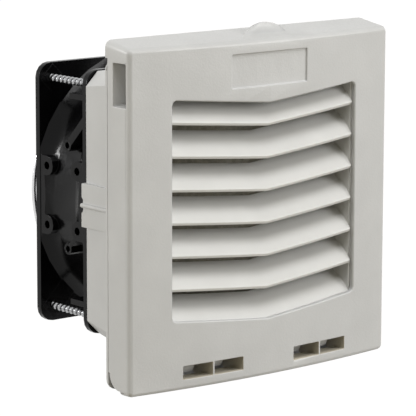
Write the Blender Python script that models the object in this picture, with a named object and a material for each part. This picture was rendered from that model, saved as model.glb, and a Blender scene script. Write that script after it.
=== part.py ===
"""Cabinet filter fan: a louvred cover on a plug-in housing, with a square axial fan behind it.

Axes: +X to the right seen from the front, +Y back into the cabinet, +Z up, in metres.
The origin is on the fan axis, in the plane of the mounting flange's rear face.
"""
from math import asin, cos, pi, radians, sin, sqrt

import bmesh
import bpy
from mathutils import Matrix, Vector

# Fits
GAP = 0.0003                     # between pieces that touch
BITE = 0.0004                    # how far a moulded feature reaches into what carries it

# The fan sets the housing, the housing sets the cut-out, and the cut-out sets the cover
FAN_SIZE = 0.119
HOUSING_MARGIN = 0.0025          # housing beyond the fan, on each side
CUTOUT_CLEARANCE = 0.0005        # on each side
COVER_LAP = 0.0125               # cover beyond the cut-out, on each side
COVER_EXTRA_HEIGHT = 0.0008

# Cover
COVER_DROP = 0.0011              # cover centre below the fan axis
COVER_DEPTH = 0.0161             # of the side walls, from the flange's rear plane
COVER_DOME = 0.0055              # how far the middle of the front face stands forward
COVER_WALL = 0.0023
TOP_RISE = 0.0029                # rear edge of the top wall above its front edge
EDGE_RADIUS = 0.0020             # between front face and walls
INNER_EDGE_RADIUS = 0.0008
FRONT_CORNER = 0.0005
REAR_CORNER = 0.0030
DOME_STEPS = 10
CORNER_STEPS = 3
EDGE_STEPS = 3

# Window and louvre
WINDOW_SIDE = 0.0220             # cover's side to the window
WINDOW_ABOVE = 0.0234            # cover's top edge to the window
WINDOW_BELOW = 0.0309            # cover's bottom edge to the window
WINDOW_CORNER = 0.0022
V_DROP = 0.0047                  # how far every louvre line sinks at mid width
BLADE_TOP_GAP = 0.0090           # window's top edge to the first lip
BLADE_SPACING = 0.0146           # wanted, before the blades are spread evenly
BLADE_RECESS = 0.0017            # lips behind the front face
BLADE_THICKNESS = 0.0018
BLADE_RADIUS = 0.0288            # of the curved blade section
BLADE_STEEP = radians(54)        # slope at the lip
BLADE_FLAT = radians(22)         # slope at the rear end
BLADE_STEPS = 4
BLADE_COLUMNS = 8
LIP_HEIGHT = 0.0016
LIP_LEAN = 0.00045
CHEEK_THICKNESS = 0.0018         # side cheeks that carry the blades
CHEEK_REAR = -0.0036

# Bare plate recess in the front face
PLATE_WIDTH = 0.0434
PLATE_HEIGHT = 0.0148
PLATE_BELOW_TOP = 0.0130         # its centre
PLATE_DEPTH = 0.0009

# Finger pockets in the side walls and tab on the top wall
POCKET_BELOW_TOP = 0.0064
POCKET_HEIGHT = 0.0191
POCKET_SILL = 0.0012             # its lower face rises inwards
POCKET_REAR = -0.0055
POCKET_FRONT = -0.0143
POCKET_DEPTH = 0.0060
POCKET_LEAN = 0.0013             # of its rear wall
POCKET_WALL = 0.0014
TAB_WIDTH = 0.0240
TAB_HEIGHT = 0.0046
TAB_THICKNESS = 0.0012
TAB_X = 0.0055                   # beside the middle, as the photograph shows it
TAB_Y = -0.0105

# Hinge: the cover's bars lie in hooks on the housing flange, behind the slots
HINGE_Y = -0.0095
HINGE_ABOVE = 0.0089             # above the cover's bottom edge
BAR_RADIUS = 0.0015
SLOT_INNER = 0.0149
SLOT_SIDE = 0.0275               # cover's side to the outer slot
SLOT_ABOVE = 0.0048              # cover's bottom edge to the slots
SLOT_HEIGHT = 0.0059
SLOT_RIB = 0.0010
HOOK_WIDTH = 0.0070
HOOK_THICKNESS = 0.0018
HOOK_ARM_TOP = 0.0006            # arm below the hinge axis
HOOK_ARM_THICKNESS = 0.0020

# Housing that plugs into the panel cut-out
HOUSING_DEPTH = 0.0332
HOUSING_STRAIGHT = 0.0170        # the side walls taper behind this depth
HOUSING_TAPER = 0.0020
HOUSING_LEVEL = 0.0125           # the upper and lower walls taper behind this depth
HOUSING_SLOPE = 0.0030
HOUSING_CHAMFER = 0.0065
HOUSING_WALL = 0.0022
HOUSING_STEP = 0.0015            # ledge for the filter grid
HOUSING_BACK = 0.0025
FLANGE_THICKNESS = 0.0015
FLANGE_BELOW_TOP = 0.0054
FLANGE_BELOW_HINGE = 0.0080
FLANGE_CORNER = 0.0048
RELIEF_CLEARANCE = 0.0005        # between the swinging cover and the flange
TONGUE_SIDE = 0.033              # from the cover's side
TONGUE_WIDTH = 0.012
TONGUE_REACH = 0.0075
TONGUE_THICKNESS = 0.0015
PAD_HEIGHT = 0.0196
PAD_NOTCH = 0.0070
PAD_NOTCH_DEPTH = 0.0010
RAIL_RADIUS = 0.0011
RAIL_SHORT = 0.0002              # rail ends before the housing's rear edge
PAD_STAND = 0.0008               # pad beyond the housing's widest part
BOSS_RADIUS = 0.0046
BOSS_LENGTH = 0.0130

# Gasket, filter mat and its grid
GASKET_WIDTH = 0.0038
GASKET_THICKNESS = 0.0018
MAT_FRONT = 0.0010
MAT_THICKNESS = 0.0078
GRID_THICKNESS = 0.0025
GRID_BAR = 0.0020
GRID_CELLS = 7

# Fan frame
FAN_DEPTH = 0.038
FAN_CORNER = 0.0066
FAN_FLANGE = 0.0030
BORE_MARGIN = 0.0035             # bore inside the fan's square
BARREL_WALL = 0.0018
FLARE_RADIUS = 0.0645            # where the barrel meets the flanges
FLARE_LENGTH = 0.0100
FLARE_STEPS = 2
HOLE_INSET = 0.0071              # screw holes inside the fan's square
SCREW_HOLE = 0.0022
GUSSET_THICKNESS = 0.0022
GUSSET_UNDER_HOLE = 0.0046       # below the screw hole's centre
GUSSET_LENGTH = 0.0150           # along the barrel
GUSSET_TOE = 0.0020              # at the outer end
EAR_RADIUS = 0.0045
EAR_HOLE = 0.0019
EAR_HOLE_DEPTH = 0.0040
EAR_Z = 0.0135
EAR_INSET = 0.0078               # hole centre from the nearer fan face
POST_RADIUS = 0.0027
POST_HOLE = 0.0015
POST_UPPER = 0.0245
POST_LOWER = 0.0224
POST_INSET = 0.0147
ARM_UPPER = 0.0036
ARM_LOWER = 0.0020
STRUTS = 4
STRUT_WIDTH = 0.0050
STRUT_DEPTH = 0.0036
HUB_RADIUS = 0.0310
HUB_THICKNESS = 0.0022

# Motor and impeller
SHAFT_RADIUS = 0.0025
BEARING_WIDTH = 0.0040
TUBE_FRONT = 0.0100              # bearing tube's front end behind the fan's front face
ROTOR_RADIUS = 0.0300
BEARING_SHARE = 0.217            # shares of the rotor's radius
TUBE_SHARE = 0.060
NECK_SHARE = 0.267
SHOE_SHARE = 0.117
YOKE_SHARE = 0.117
COIL_SHARE = 0.113
ROTOR_WALL = 0.0015
ROTOR_FRONT = 0.0025             # rotor face behind the fan's front face
ROTOR_LENGTH = 0.0290
CAGE_WALL = 0.0022
CORE_LENGTH = 0.0140
AIR_GAP = 0.0005
POLES = 4
INSULATOR = 0.0008
HUB_RING = 0.0022
IMPELLER_BLADES = 7
TIP_CLEARANCE = 0.0012
BLADE_ROOT_THICKNESS = 0.0022
BLADE_TIP_THICKNESS = 0.0014
RING_THICKNESS = 0.0006
SPRING_THICKNESS = 0.0007

# Fasteners, terminals and guard
SCREW_RADIUS = 0.0019
SCREW_HEAD_RADIUS = 0.0039
SCREW_HEAD_HEIGHT = 0.0026
SCREW_ENGAGEMENT = 0.0100
GUARD_WIRE = 0.0010
GUARD_RINGS = 5
GUARD_INSET = 0.0010             # outer ring inside the bore
GUARD_INNER = 0.0150
GUARD_STANDOFF = 0.0080
GUARD_LEG_INNER = 0.0110
LEG_STRAIGHT = 0.0020            # past the outer ring
LEG_BEND = 0.0070
LEG_FOOT = 0.0050
LEG_DROP = 0.0020
EYE_RADIUS = 0.0040
TERMINAL_ANGLE = radians(-38)
BLOCK_LENGTH = 0.0080
BLOCK_WIDTH = 0.0120
BLOCK_HEIGHT = 0.0070
TERMINAL_WIDTH = 0.0028
TERMINAL_THICKNESS = 0.0008
TERMINAL_REACH = 0.0070
EARTH_ANGLE = radians(-53)
EARTH_HEAD = 0.0030

# Places worked out from the sizes
HOUSING_HALF = FAN_SIZE / 2 + HOUSING_MARGIN
CUTOUT_HALF = HOUSING_HALF + CUTOUT_CLEARANCE
HALF_WIDTH = CUTOUT_HALF + COVER_LAP
COVER_HEIGHT = 2 * HALF_WIDTH + COVER_EXTRA_HEIGHT
FACE_TOP = COVER_HEIGHT / 2 - COVER_DROP
FACE_BOTTOM = -COVER_HEIGHT / 2 - COVER_DROP
WINDOW_HALF = HALF_WIDTH - WINDOW_SIDE
WINDOW_TOP = FACE_TOP - WINDOW_ABOVE
WINDOW_BOTTOM = FACE_BOTTOM + WINDOW_BELOW
BLADES = 1 + round((WINDOW_TOP - WINDOW_BOTTOM - BLADE_TOP_GAP) / BLADE_SPACING)
BLADE_PITCH = (WINDOW_TOP - WINDOW_BOTTOM - BLADE_TOP_GAP) / (BLADES - 1)
SLOT_OUTER = HALF_WIDTH - SLOT_SIDE
TONGUE_X = HALF_WIDTH - TONGUE_SIDE
FLANGE_TOP = FACE_TOP - FLANGE_BELOW_TOP
HINGE = Vector((0.0, HINGE_Y, FACE_BOTTOM + HINGE_ABOVE))
COVER_REAR = -GAP
SIDE_REAR = -FLANGE_THICKNESS - GAP
FAN_FRONT = HOUSING_DEPTH + GAP
FAN_REAR = FAN_FRONT + FAN_DEPTH
FAN_HALF = FAN_SIZE / 2
FAN_BORE = FAN_HALF - BORE_MARGIN
BARREL_RADIUS = FAN_BORE + BARREL_WALL
HOLE_PLACE = FAN_HALF - HOLE_INSET
GRID_FRONT = MAT_FRONT + MAT_THICKNESS + GAP
GRID_REAR = GRID_FRONT + GRID_THICKNESS
BEARING_RADIUS = BEARING_SHARE * ROTOR_RADIUS
BORE_RADIUS = BEARING_RADIUS + GAP
TUBE_RADIUS = BORE_RADIUS + TUBE_SHARE * ROTOR_RADIUS
POLE_NECK = NECK_SHARE * ROTOR_RADIUS
POLE_SHOE = SHOE_SHARE * ROTOR_RADIUS
YOKE_WALL = YOKE_SHARE * ROTOR_RADIUS
COIL_WALL = COIL_SHARE * ROTOR_RADIUS
CORE_RADIUS = ROTOR_RADIUS - ROTOR_WALL - CAGE_WALL - GAP - AIR_GAP
ROTOR_FACE = FAN_FRONT + ROTOR_FRONT
CORE_FRONT = ROTOR_FACE + 0.4 * ROTOR_LENGTH
HUB_FRONT = FAN_REAR - HUB_THICKNESS
GUARD_OUTER = FAN_BORE - GUARD_INSET


def material(name, colour, roughness, metallic=0.0):
    """A plain Principled material."""
    made = bpy.data.materials.new(name)
    made.use_nodes = True
    shader = made.node_tree.nodes["Principled BSDF"]
    shader.inputs["Base Color"].default_value = (*colour, 1.0)
    shader.inputs["Roughness"].default_value = roughness
    shader.inputs["Metallic"].default_value = metallic
    return made


def clear_scene():
    for old in list(bpy.data.objects):
        bpy.data.objects.remove(old, do_unlink=True)


def add_object(name, bm, finish, smooth=radians(35)):
    """Turn a bmesh into an object with outward faces."""
    bmesh.ops.remove_doubles(bm, verts=bm.verts, dist=1e-7)
    bmesh.ops.recalc_face_normals(bm, faces=bm.faces)
    mesh = bpy.data.meshes.new(name)
    bm.to_mesh(mesh)
    bm.free()
    made = bpy.data.objects.new(name, mesh)
    bpy.context.scene.collection.objects.link(made)
    if finish:
        mesh.materials.append(finish)
    mesh.shade_smooth()
    mesh.set_sharp_from_angle(angle=smooth)
    return made


def boolean(target, tools, operation):
    """Cut or add each tool, then remove it."""
    for tool in tools:
        modifier = target.modifiers.new(operation.lower(), "BOOLEAN")
        modifier.operation = operation
        modifier.solver = "EXACT"
        modifier.object = tool
        seen = target.evaluated_get(bpy.context.evaluated_depsgraph_get())
        mesh = bpy.data.meshes.new_from_object(seen)
        target.modifiers.clear()
        target.data = mesh
        bpy.data.objects.remove(tool, do_unlink=True)
    target.data.shade_smooth()
    target.data.set_sharp_from_angle(angle=radians(35))
    return target


def cut(target, *tools):
    return boolean(target, tools, "DIFFERENCE")


def add(target, *tools):
    return boolean(target, tools, "UNION")


def arc(centre, radius, start, end, steps):
    """Points on an arc, as pairs, both ends included."""
    angles = [start + (end - start) * i / steps for i in range(steps + 1)]
    return [(centre[0] + radius * cos(a), centre[1] + radius * sin(a)) for a in angles]


def rounded_rectangle(left, right, bottom, top, radius, steps=4):
    """Outline with four equal rounded corners."""
    points = arc((right - radius, top - radius), radius, 0, pi / 2, steps)
    points += arc((left + radius, top - radius), radius, pi / 2, pi, steps)
    points += arc((left + radius, bottom + radius), radius, pi, 1.5 * pi, steps)
    points += arc((right - radius, bottom + radius), radius, 1.5 * pi, 2 * pi, steps)
    return points


def chamfered_square(half_width, half_height, chamfer):
    """Eight-sided outline of the housing."""
    w, h, c = half_width, half_height, chamfer
    return [(w, h - c), (w - c, h), (c - w, h), (-w, h - c),
            (-w, c - h), (c - w, -h), (w - c, -h), (w, c - h)]


def extrude(name, loops, start, end, finish, axis="Y"):
    """Plate between two planes: the first loop is its outline, the others are holes."""
    def place(a, b, along):
        if axis == "Y":
            return (a, along, b)
        return (along, a, b)

    bm = bmesh.new()
    for loop in loops:
        ring = [bm.verts.new(place(a, b, start)) for a, b in loop]
        for i, vertex in enumerate(ring):
            bm.edges.new((vertex, ring[(i + 1) % len(ring)]))
    filled = bmesh.ops.triangle_fill(bm, use_beauty=True, edges=bm.edges[:])
    faces = [piece for piece in filled["geom"] if isinstance(piece, bmesh.types.BMFace)]
    grown = bmesh.ops.extrude_face_region(bm, geom=faces, use_keep_orig=True)
    moved = [piece for piece in grown["geom"] if isinstance(piece, bmesh.types.BMVert)]
    bmesh.ops.translate(bm, verts=moved, vec=Vector(place(0.0, 0.0, end - start)))
    return add_object(name, bm, finish)


def box(name, low, high, finish=None):
    bm = bmesh.new()
    bmesh.ops.create_cube(bm, size=1.0)
    size = Vector(high) - Vector(low)
    middle = (Vector(high) + Vector(low)) / 2
    bmesh.ops.scale(bm, vec=size, verts=bm.verts)
    bmesh.ops.translate(bm, vec=middle, verts=bm.verts)
    return add_object(name, bm, finish)


def revolve(name, profile, finish, steps=32):
    """Turn a closed profile of (radius, y) pairs about the Y axis."""
    bm = bmesh.new()
    rings = []
    for radius, y in profile:
        if radius < 1e-6:
            rings.append([bm.verts.new((0.0, y, 0.0))] * steps)
        else:
            turns = [2 * pi * i / steps for i in range(steps)]
            rings.append([bm.verts.new((radius * cos(a), y, radius * sin(a))) for a in turns])
    for k, ring in enumerate(rings):
        after = rings[(k + 1) % len(rings)]
        for i in range(steps):
            j = (i + 1) % steps
            corners = []
            for vertex in (ring[i], ring[j], after[j], after[i]):
                if vertex not in corners:
                    corners.append(vertex)
            if len(corners) > 2:
                bm.faces.new(corners)
    return add_object(name, bm, finish)


def cylinder(name, radius, start, end, x=0.0, z=0.0, finish=None, steps=16):
    """Cylinder along Y."""
    made = revolve(name, [(0.0, start), (radius, start), (radius, end), (0.0, end)], finish, steps)
    made.data.transform(Matrix.Translation((x, 0.0, z)))
    return made


def tube_along(name, points, radius, finish, sides=6, closed=False):
    """Round wire along a list of points, with flat ends or closed on itself."""
    bm = bmesh.new()
    points = [Vector(p) for p in points]
    rings = []
    count = len(points)
    for i, point in enumerate(points):
        if closed:
            along = points[(i + 1) % count] - points[i - 1]
        else:
            along = points[min(i + 1, count - 1)] - points[max(i - 1, 0)]
        along.normalize()
        side = Vector((0.0, 1.0, 0.0)) if abs(along.y) < 0.9 else Vector((1.0, 0.0, 0.0))
        across = along.cross(side).normalized()
        third = across.cross(along)
        turns = [2 * pi * k / sides for k in range(sides)]
        rings.append([bm.verts.new(point + radius * (cos(a) * across + sin(a) * third)) for a in turns])
    spans = count if closed else count - 1
    for i in range(spans):
        after = rings[(i + 1) % count]
        for k in range(sides):
            j = (k + 1) % sides
            bm.faces.new((rings[i][k], rings[i][j], after[j], after[k]))
    if not closed:
        bm.faces.new(rings[0])
        bm.faces.new(rings[-1])
    return add_object(name, bm, finish)


# The cover

def dome_y(x):
    """Front face at a distance x from the middle."""
    return -(COVER_DEPTH + COVER_DOME * (1 - (x / HALF_WIDTH) ** 2))


def v_sink(x):
    """How far a louvre line lies below its ends, at x."""
    return V_DROP * (1 - min(1.0, abs(x) / WINDOW_HALF))


def roof_rise(x, y):
    """How far the top wall stands above the front edge: it falls evenly towards the front."""
    return TOP_RISE * (1 - y / dome_y(x))


def spread(half, steps):
    return [-half + 2 * half * i / steps for i in range(steps + 1)]


def cover_outline(half, bottom, top, radius_bottom, radius_top):
    """Upper and lower halves of a rounded outline, both from left to right."""
    upper = arc((-half + radius_top, top - radius_top), radius_top, pi, pi / 2, CORNER_STEPS)
    upper += [(x, top) for x in spread(half - radius_top, DOME_STEPS)[1:-1]]
    upper += arc((half - radius_top, top - radius_top), radius_top, pi / 2, 0, CORNER_STEPS)
    lower = arc((-half + radius_bottom, bottom + radius_bottom), radius_bottom, pi, 1.5 * pi, CORNER_STEPS)
    lower += [(x, bottom) for x in spread(half - radius_bottom, DOME_STEPS)[1:-1]]
    lower += arc((half - radius_bottom, bottom + radius_bottom), radius_bottom, -pi / 2, 0,
                 CORNER_STEPS)
    return upper, lower


def skin(name, rings):
    """Closed body through rings of upper and lower points, closed by upright strips."""
    bm = bmesh.new()
    made = [[[bm.verts.new(p) for p in half] for half in ring] for ring in rings]
    for first, second in zip(made, made[1:]):
        a = first[0] + first[1][::-1]
        b = second[0] + second[1][::-1]
        for i in range(len(a)):
            j = (i + 1) % len(a)
            bm.faces.new((a[i], a[j], b[j], b[i]))
    for upper, lower in (made[0], made[-1]):
        for i in range(len(upper) - 1):
            bm.faces.new((upper[i], upper[i + 1], lower[i + 1], lower[i]))
    return add_object(name, bm, None)


def cover_body(name, inset, rear, edge, rear_corner):
    """The cover's outer form, or with an inset the hollow inside it."""
    half = HALF_WIDTH - inset
    bottom = FACE_BOTTOM + inset
    top = FACE_TOP - inset
    upper, lower = cover_outline(half, bottom, top, edge, rear_corner)
    rings = [[[(x, rear, z + roof_rise(x, rear)) for x, z in upper], [(x, rear, z) for x, z in lower]]]
    for i in range(EDGE_STEPS + 1):
        turn = pi / 2 * i / EDGE_STEPS
        shrink = edge * (1 - cos(turn))
        back = inset + edge * (1 - sin(turn))
        corner = FRONT_CORNER + edge - shrink
        upper, lower = cover_outline(half - shrink, bottom + shrink, top - shrink, corner, corner)
        front = [(x, dome_y(x) + back, z + roof_rise(x, dome_y(x) + back)) for x, z in upper]
        rings.append([front, [(x, dome_y(x) + back, z) for x, z in lower]])
    return skin(name, rings)


def window_outline():
    """V-kinked window with rounded corners."""
    half = WINDOW_HALF
    top = WINDOW_TOP
    bottom = WINDOW_BOTTOM
    r = WINDOW_CORNER
    points = arc((half - r, top - r), r, 0, pi / 2, 3)
    points += [(0.0, top - V_DROP)]
    points += arc((-half + r, top - r), r, pi / 2, pi, 3)
    points += arc((-half + r, bottom + r), r, pi, 1.5 * pi, 3)
    points += [(0.0, bottom - V_DROP)]
    points += arc((half - r, bottom + r), r, 1.5 * pi, 2 * pi, 3)
    return points


def pocket_outline(side):
    """Plan of the finger pocket: a level floor and a rear wall that leans forward."""
    floor = side * (HALF_WIDTH - POCKET_DEPTH)
    outside = side * (HALF_WIDTH + COVER_WALL)
    lean = POCKET_LEAN / POCKET_DEPTH
    return [(floor, POCKET_REAR - POCKET_LEAN), (outside, POCKET_REAR + lean * COVER_WALL),
            (outside, POCKET_FRONT), (floor, POCKET_FRONT)]


def extrude_up(name, outline, bottom, top, sill=0.0):
    """Upright prism from (x, y) pairs; its lower face can rise from the cover's side inwards."""
    bm = bmesh.new()
    widest = max(abs(x) for x, y in outline)
    depth = widest - min(abs(x) for x, y in outline)
    low = [bm.verts.new((x, y, bottom + sill * (widest - abs(x)) / depth)) for x, y in outline]
    high = [bm.verts.new((x, y, top)) for x, y in outline]
    bm.faces.new(low)
    bm.faces.new(high)
    for i in range(len(outline)):
        j = (i + 1) % len(outline)
        bm.faces.new((low[i], low[j], high[j], high[i]))
    return add_object(name, bm, None)


def add_pockets(cover):
    top = FACE_TOP - POCKET_BELOW_TOP
    bottom = top - POCKET_HEIGHT
    for side in (-1, 1):
        inner = side * (HALF_WIDTH - POCKET_DEPTH - POCKET_WALL)
        outer = side * (HALF_WIDTH - COVER_WALL + BITE)
        left, right = sorted((inner, outer))
        low = (left, POCKET_FRONT - POCKET_WALL, bottom - POCKET_WALL)
        high = (right, POCKET_REAR + POCKET_WALL, top + POCKET_WALL)
        add(cover, box("pocket_back", low, high))
        cut(cover, extrude_up("pocket", pocket_outline(side), bottom, top, POCKET_SILL))


def add_tab(cover):
    """Half-disc finger tab that stands on the top wall."""
    base = FACE_TOP + roof_rise(TAB_X, TAB_Y)
    half = TAB_WIDTH / 2
    radius = (half ** 2 + TAB_HEIGHT ** 2) / (2 * TAB_HEIGHT)
    reach = asin(half / radius)
    outline = arc((TAB_X, base + TAB_HEIGHT - radius), radius, pi / 2 - reach, pi / 2 + reach, 12)
    sunk = base - COVER_WALL / 2
    outline += [(TAB_X - half, sunk), (TAB_X + half, sunk)]
    add(cover, extrude("tab", [outline], TAB_Y - TAB_THICKNESS / 2, TAB_Y + TAB_THICKNESS / 2, None))


def cut_slots(cover):
    """Two pairs of slots in front of the hinge, each pair split by a thin rib."""
    middle = (SLOT_INNER + SLOT_OUTER) / 2
    for side in (-1, 1):
        for start, end in ((SLOT_INNER, middle - SLOT_RIB / 2), (middle + SLOT_RIB / 2, SLOT_OUTER)):
            left, right = sorted((side * start, side * end))
            bottom = FACE_BOTTOM + SLOT_ABOVE
            low = (left, dome_y(0) - COVER_WALL, bottom)
            high = (right, dome_y(SLOT_OUTER) + 2 * COVER_WALL, bottom + SLOT_HEIGHT)
            cut(cover, box("slot", low, high))


def add_hinge_bars(cover):
    """Hinge bars behind the slots, on three ribs each."""
    middle = (SLOT_INNER + SLOT_OUTER) / 2
    reach = BAR_RADIUS + SLOT_RIB
    for side in (-1, 1):
        start = SLOT_INNER - SLOT_RIB / 2
        end = SLOT_OUTER + SLOT_RIB / 2
        for place in (start, middle, end):
            x = side * place
            low = (x - SLOT_RIB / 2, dome_y(place) + COVER_WALL - BITE, FACE_BOTTOM + COVER_WALL - BITE)
            high = (x + SLOT_RIB / 2, HINGE.y + reach, HINGE.z + reach)
            add(cover, box("hinge_rib", low, high))
        bar = cylinder("bar", BAR_RADIUS, start, end, steps=12)
        bar.data.transform(Matrix.Rotation(-side * pi / 2, 4, "Z"))
        bar.data.transform(Matrix.Translation((0.0, HINGE.y, HINGE.z)))
        add(cover, bar)


def cut_hinge_relief(cover):
    """Room for the cover's lower rear edge to swing past the flange."""
    radius = SIDE_REAR - HINGE.y - RELIEF_CLEARANCE
    corner = arc((HINGE.y, HINGE.z), radius, -pi / 2, 0, 8)
    far = 2 * COVER_WALL
    low = FACE_BOTTOM - COVER_WALL
    outline = corner + [(far, HINGE.z), (far, low), (HINGE.y, low)]
    cut(cover, extrude("relief", [outline], -2 * HALF_WIDTH, 2 * HALF_WIDTH, None, axis="X"))
    inner = HALF_WIDTH - COVER_WALL
    start = HINGE.y - 2 * RELIEF_CLEARANCE
    cut(cover, box("floor_relief", (-inner, start, low), (inner, far, FACE_BOTTOM + 1.5 * COVER_WALL)))


def make_cover_frame(finish):
    cover = cover_body("cover_frame", 0.0, COVER_REAR, EDGE_RADIUS, REAR_CORNER)
    cover.data.materials.append(finish)
    cut(cover, cover_body("hollow", COVER_WALL, COVER_WALL, INNER_EDGE_RADIUS, INNER_EDGE_RADIUS))
    cut(cover, extrude("window", [window_outline()], dome_y(0) - COVER_WALL, COVER_WALL, None))
    plate_top = FACE_TOP - PLATE_BELOW_TOP + PLATE_HEIGHT / 2
    plate_bottom = plate_top - PLATE_HEIGHT
    half = PLATE_WIDTH / 2
    plate = skin("plate", [
        [[(x, dome_y(x) + y, plate_top) for x in spread(half, 6)],
         [(x, dome_y(x) + y, plate_bottom) for x in spread(half, 6)]]
        for y in (-COVER_WALL, PLATE_DEPTH)])
    cut(cover, plate)
    cut_slots(cover)
    add_hinge_bars(cover)
    side_top = FLANGE_TOP + 2 * GAP
    for side in (-1, 1):
        left, right = sorted((side * (HALF_WIDTH - 2 * COVER_WALL), side * (HALF_WIDTH + COVER_WALL)))
        cut(cover, box("rebate", (left, SIDE_REAR, FACE_BOTTOM - COVER_WALL), (right, COVER_WALL, side_top)))
    cut_hinge_relief(cover)
    add_pockets(cover)
    add_tab(cover)
    return cover


def blade_section():
    """Blade section as (back, up) pairs from the lip: convex upper face, even thickness."""
    upper = []
    lower = []
    for i in range(BLADE_STEPS + 1):
        slope = BLADE_STEEP + (BLADE_FLAT - BLADE_STEEP) * i / BLADE_STEPS
        back = BLADE_RADIUS * (sin(BLADE_STEEP) - sin(slope))
        up = BLADE_RADIUS * (cos(slope) - cos(BLADE_STEEP))
        upper.append((back, up))
        lower.append((back + BLADE_THICKNESS * sin(slope), up - BLADE_THICKNESS * cos(slope)))
    lip = [(LIP_LEAN, -LIP_HEIGHT), (0.0, -LIP_LEAN)]
    return upper + lower[:0:-1] + lip


def make_louvre(finish):
    """V-kinked louvre insert: curved blades between two cheeks."""
    half = WINDOW_HALF - GAP
    section = blade_section()
    columns = spread(half, BLADE_COLUMNS)
    behind_wall = COVER_WALL + GAP
    bm = bmesh.new()
    for blade in range(BLADES):
        last = blade == BLADES - 1
        recess = behind_wall if last else BLADE_RECESS
        lip_z = WINDOW_BOTTOM + (BLADES - 1 - blade) * BLADE_PITCH
        rings = []
        for x in columns:
            lip_y = dome_y(x) + recess
            rings.append([bm.verts.new((x, lip_y + back, lip_z - v_sink(x) + up)) for back, up in section])
        for first, second in zip(rings, rings[1:]):
            for i in range(len(section)):
                j = (i + 1) % len(section)
                bm.faces.new((first[i], first[j], second[j], second[i]))
        bm.faces.new(rings[0])
        bm.faces.new(rings[-1])
    louvre = add_object("louvre_grille", bm, finish)
    cheek_bottom = WINDOW_BOTTOM - LIP_HEIGHT
    cheek_top = WINDOW_BOTTOM + (BLADES - 1) * BLADE_PITCH + blade_rise() + BLADE_THICKNESS
    front = dome_y(half) + behind_wall
    for side in (-1, 1):
        left, right = sorted((side * (half - BITE), side * (half - BITE + CHEEK_THICKNESS)))
        add(louvre, box("cheek", (left, front, cheek_bottom), (right, CHEEK_REAR, cheek_top)))
    return louvre


def blade_rise():
    return BLADE_RADIUS * (cos(BLADE_FLAT) - cos(BLADE_STEEP))


# The housing

def tapered(y, straight, taper):
    """Half size of the housing at a depth: straight first, then tapered."""
    if y <= straight:
        return HOUSING_HALF
    return HOUSING_HALF - taper * (y - straight) / (HOUSING_DEPTH - straight)


def housing_form(name, levels, finish=None):
    """Body through chamfered outlines at (depth, wall) levels, each inside the housing by its wall."""
    bm = bmesh.new()
    rings = []
    for y, wall in levels:
        half = tapered(y, HOUSING_STRAIGHT, HOUSING_TAPER) - wall
        height = tapered(y, HOUSING_LEVEL, HOUSING_SLOPE) - wall
        chamfer = HOUSING_CHAMFER * half / HOUSING_HALF
        rings.append([bm.verts.new((x, y, z)) for x, z in chamfered_square(half, height, chamfer)])
    for first, second in zip(rings, rings[1:]):
        for i in range(len(first)):
            j = (i + 1) % len(first)
            bm.faces.new((first[i], first[j], second[j], second[i]))
    bm.faces.new(rings[0])
    bm.faces.new(rings[-1])
    return add_object(name, bm, finish)


def hook_outline():
    """Hook in (y, z): an arm from the flange that curls under and in front of the hinge bar."""
    inner = BAR_RADIUS + GAP
    outer = inner + HOOK_THICKNESS
    arm_top = -HOOK_ARM_TOP
    arm_bottom = arm_top - HOOK_ARM_THICKNESS
    tip = radians(-205)
    points = arc((HINGE.y, HINGE.z), outer, asin(arm_bottom / outer), tip, 9)
    points += arc((HINGE.y, HINGE.z), inner, tip, asin(arm_top / inner), 9)
    root = -FLANGE_THICKNESS + BITE
    return points + [(root, HINGE.z + arm_top), (root, HINGE.z + arm_bottom)]


def add_hooks(housing):
    middle = (SLOT_INNER + SLOT_OUTER) / 2
    for side in (-1, 1):
        for place in ((SLOT_INNER + middle) / 2, (SLOT_OUTER + middle) / 2):
            x = side * place
            add(housing, extrude("hook", [hook_outline()], x - HOOK_WIDTH / 2, x + HOOK_WIDTH / 2, None, "X"))


def add_tongues(housing):
    """Springy catches under the cover's top wall."""
    def wall_at(y):
        return FACE_TOP + roof_rise(TONGUE_X + TONGUE_WIDTH / 2, y) - COVER_WALL - GAP

    tip = -FLANGE_THICKNESS - TONGUE_REACH
    root = -BITE
    front_root = -FLANGE_THICKNESS
    low = FLANGE_TOP - TONGUE_THICKNESS
    outline = [(root, wall_at(root)), (tip, wall_at(tip)), (tip, wall_at(tip) - TONGUE_THICKNESS),
               (front_root, wall_at(front_root) - TONGUE_THICKNESS), (front_root, low), (root, low)]
    for side in (-1, 1):
        x = side * TONGUE_X
        left = x - TONGUE_WIDTH / 2
        add(housing, extrude("tongue", [outline], left, left + TONGUE_WIDTH, None, "X"))


def add_pads(housing):
    """Flat pad on each tapered side, with a rail for a panel clip."""
    face = HOUSING_HALF + PAD_STAND
    root = HOUSING_HALF - HOUSING_TAPER - HOUSING_WALL / 2
    start = GASKET_THICKNESS + 2 * GAP
    half = PAD_HEIGHT / 2
    notch = PAD_NOTCH / 2
    deep = HOUSING_DEPTH - PAD_NOTCH_DEPTH
    outline = [(HOUSING_STRAIGHT, -half), (HOUSING_DEPTH, -half), (HOUSING_DEPTH, -notch),
               (deep, -notch + PAD_NOTCH_DEPTH), (deep, notch - PAD_NOTCH_DEPTH),
               (HOUSING_DEPTH, notch), (HOUSING_DEPTH, half), (HOUSING_STRAIGHT, half)]
    for side in (-1, 1):
        left, right = sorted((side * root, side * face))
        add(housing, extrude("pad", [outline], left, right, None, axis="X"))
        left, right = sorted((side * (HOUSING_HALF - HOUSING_WALL / 2), side * face))
        add(housing, box("pad_front", (left, start, -half), (right, HOUSING_STRAIGHT + BITE, half)))
        rail = cylinder("rail", RAIL_RADIUS, start, HOUSING_DEPTH - RAIL_SHORT, side * face, 0.0, None, 10)
        add(housing, rail)


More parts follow.
